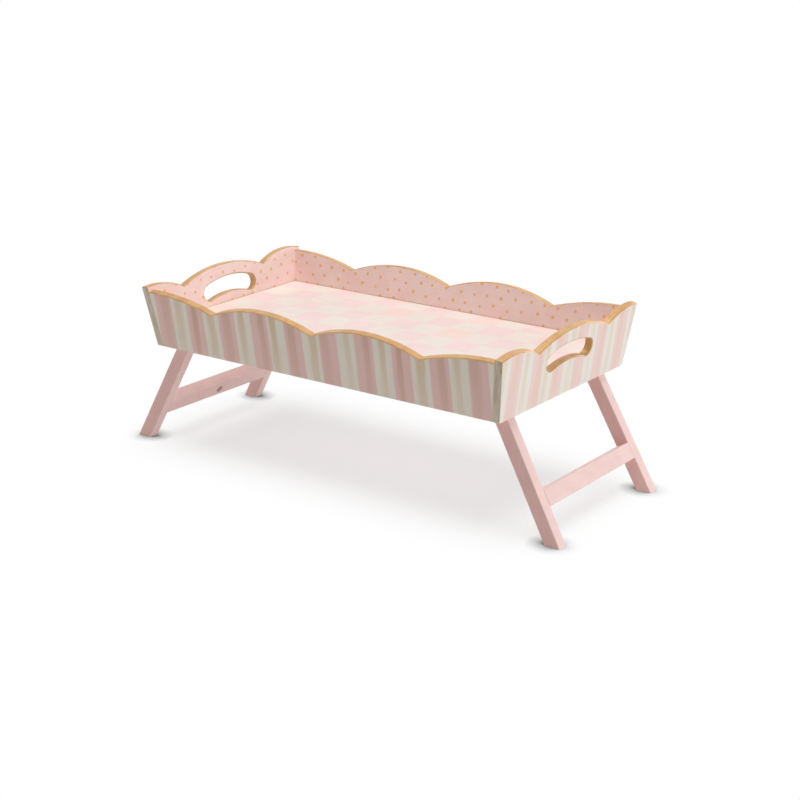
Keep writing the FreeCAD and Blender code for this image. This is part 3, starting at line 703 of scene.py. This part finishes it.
def make_world():
    """White to the camera and in reflections, and a faint light on everything else."""
    world = bpy.data.worlds.new("studio")
    bpy.context.scene.world = world
    world.use_nodes = True
    tree = world.node_tree
    back = tree.nodes["Background"]
    back.inputs["Color"].default_value = WHITE
    back.inputs["Strength"].default_value = WORLD_LIGHT
    seen = tree.nodes.new("ShaderNodeBackground")
    seen.inputs["Color"].default_value = WHITE
    rays = tree.nodes.new("ShaderNodeLightPath")
    either = tree.nodes.new("ShaderNodeMath")
    either.operation = "MAXIMUM"
    tree.links.new(rays.outputs["Is Camera Ray"], either.inputs[0])
    tree.links.new(rays.outputs["Is Glossy Ray"], either.inputs[1])
    mix = tree.nodes.new("ShaderNodeMixShader")
    tree.links.new(either.outputs[0], mix.inputs[0])
    tree.links.new(back.outputs[0], mix.inputs[1])
    tree.links.new(seen.outputs[0], mix.inputs[2])
    tree.links.new(mix.outputs[0], tree.nodes["World Output"].inputs[0])


def softbox(name, location, target, width, power, colour=(1, 1, 1)):
    """A round lamp that faces the target, in metres and watts."""
    lamp = bpy.data.lights.new(name, "AREA")
    lamp.shape = "DISK"
    lamp.size = width
    lamp.energy = power
    lamp.color = colour
    thing = bpy.data.objects.new(name, lamp)
    bpy.context.scene.collection.objects.link(thing)
    thing.location = location
    thing.rotation_mode = "QUATERNION"
    thing.rotation_quaternion = (Vector(target) - Vector(location)).to_track_quat("-Z", "Y")


def make_camera():
    """The photograph's view: from the right and above, in front of the tray."""
    back = Vector((
        math.sin(CAMERA_AZIMUTH) * math.cos(CAMERA_ELEVATION),
        -math.cos(CAMERA_AZIMUTH) * math.cos(CAMERA_ELEVATION),
        math.sin(CAMERA_ELEVATION),
    ))
    right = Vector((math.cos(CAMERA_AZIMUTH), math.sin(CAMERA_AZIMUTH), 0))
    up = back.cross(right)
    tilted_right = right * math.cos(CAMERA_ROLL) + up * math.sin(CAMERA_ROLL)
    tilted_up = up * math.cos(CAMERA_ROLL) - right * math.sin(CAMERA_ROLL)
    data = bpy.data.cameras.new("camera")
    data.lens = LENS
    data.sensor_width = SENSOR
    data.clip_start = 0.05
    data.clip_end = 100
    camera = bpy.data.objects.new("camera", data)
    bpy.context.scene.collection.objects.link(camera)
    turn = Matrix((tilted_right, tilted_up, back)).transposed().to_4x4()
    camera.matrix_world = Matrix.Translation(Vector(CAMERA_TARGET) + back * CAMERA_DISTANCE) @ turn
    bpy.context.scene.camera = camera


make_floor()
make_world()
softbox("overhead", (0.25, 0.1, 3.3), (0, 0, 0.15), width=3.2, power=100)
softbox("side", (2.8, 0.0, 0.9), (0, 0, 0.12), width=1.6, power=10)
softbox("low_side", (2.4, -0.2, 0.35), (0, 0, 0.1), width=0.8, power=8.5)
softbox("front_left", (-1.3, -1.5, 0.7), (0, 0, 0.15), width=0.8, power=4.5, colour=(1.0, 0.92, 0.89))
softbox("low_back", (0.6, 2.4, 0.5), (0, 0, 0.1), width=1.2, power=16)
make_camera()

settings = bpy.context.scene.view_settings
settings.view_transform = "Standard"
